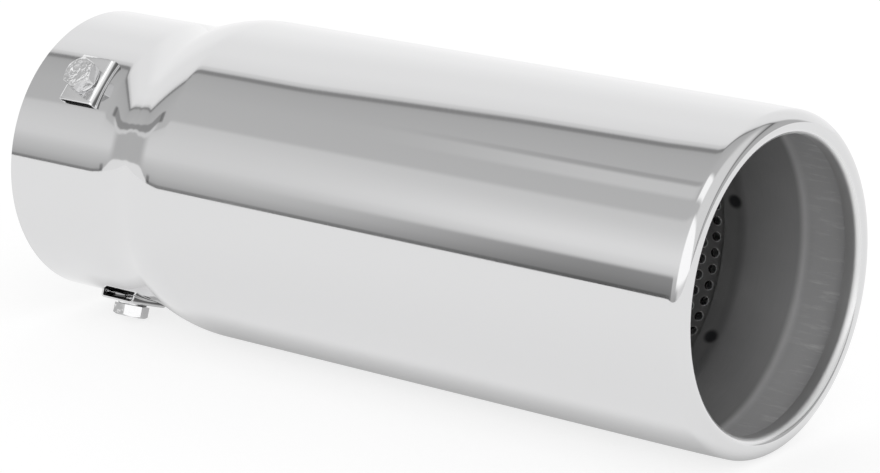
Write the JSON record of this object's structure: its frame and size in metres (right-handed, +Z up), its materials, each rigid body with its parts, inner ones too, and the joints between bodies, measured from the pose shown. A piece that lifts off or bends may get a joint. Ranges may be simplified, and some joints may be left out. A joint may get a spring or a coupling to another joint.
{
  "type": "exhaust tip",
  "caption": "Bolt-on tubular exhaust tip: polished shell with stepped collar and rolled rim, perforated core, mouth cone and clamp bolts.",
  "frame": {"origin": "centre of the collar's open end, where the tailpipe goes in", "axes": "+X along the tip from the collar to the mouth, +Z up as the tip lies on a table, -Y the side the picture shows"},
  "size_m": [0.26, 0.1026, 0.1016],
  "materials": {
    "polished_steel": "mirror-polished stainless steel",
    "satin_steel": "unpolished satin stainless steel, dark with handling",
    "clip_steel": "polished folded sheet",
    "bolt_steel": "bright plated"
  },
  "bodies": {
    "root": {"shell": "polished_steel", "perforated_core": "satin_steel", "mouth_cone": "satin_steel", "upper_clip": "clip_steel", "lower_clip": "clip_steel", "far_clip": "clip_steel", "upper_bolt": "bolt_steel", "lower_bolt": "bolt_steel", "far_bolt": "bolt_steel"}
  },
  "joints": []
}
